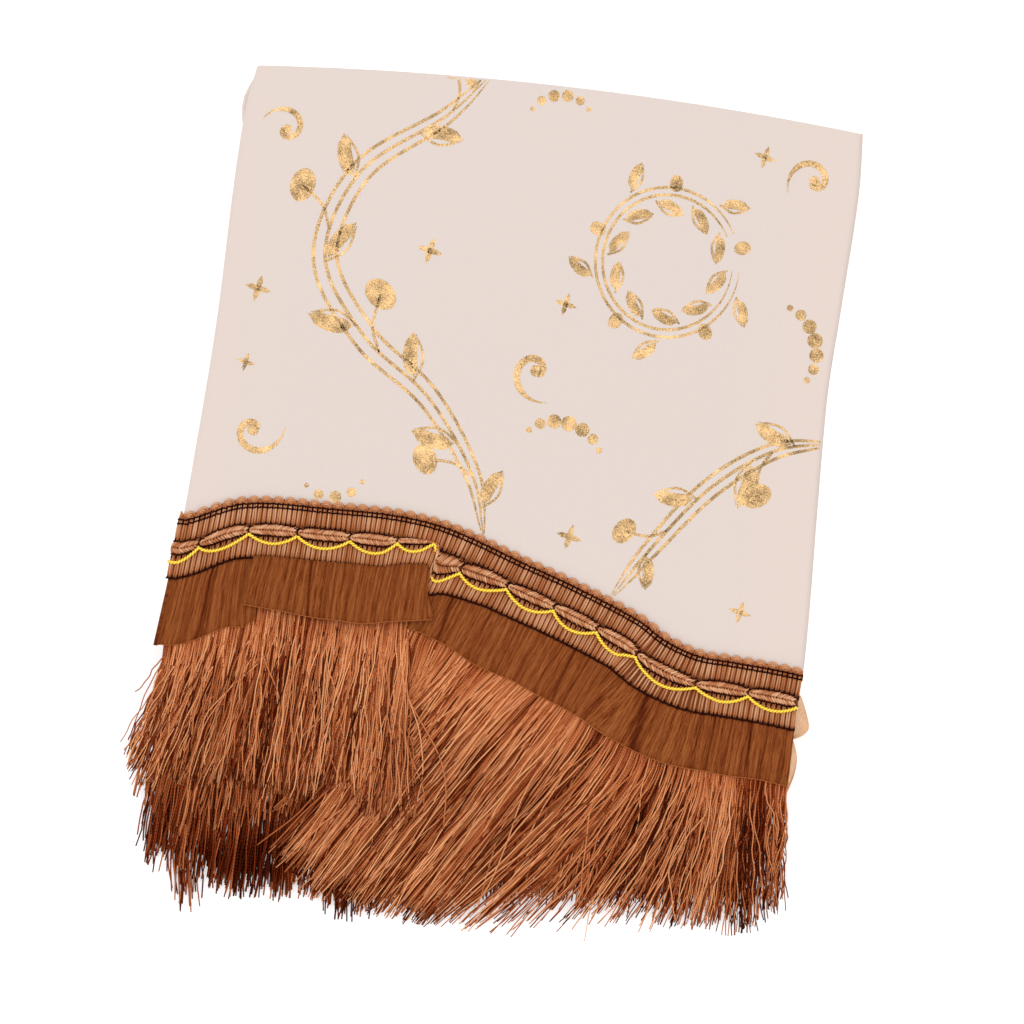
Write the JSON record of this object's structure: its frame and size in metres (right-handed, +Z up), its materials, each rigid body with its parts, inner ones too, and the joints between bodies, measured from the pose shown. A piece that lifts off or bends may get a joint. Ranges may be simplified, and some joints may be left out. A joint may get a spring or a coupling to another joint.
{
  "type": "piano top cover",
  "caption": "Folded cloth cover for a piano's top, with a braid, a scalloped gold cord, a sheer gathered band and a long strand fringe along its front edge.",
  "frame": {"origin": "middle of the bounding box's bottom, on the surface that the folded cover lies on", "axes": "+Z up, +Y from the fringe towards the top fold, +X along the top fold towards the free short hem"},
  "size_m": [0.3614, 0.466, 0.0337],
  "materials": {
    "cover_fabric": "matt woven polyester",
    "braid_yarn": "matt braided yarn",
    "gold_thread": "shiny metallic thread",
    "organza": "sheer gathered organza",
    "fringe_yarn": "silky twisted strands"
  },
  "bodies": {
    "root": {"cover_cloth": "cover_fabric", "braid": "braid_yarn", "gold_cord": "gold_thread", "organza_band": "organza", "fringe": "fringe_yarn"}
  },
  "joints": []
}
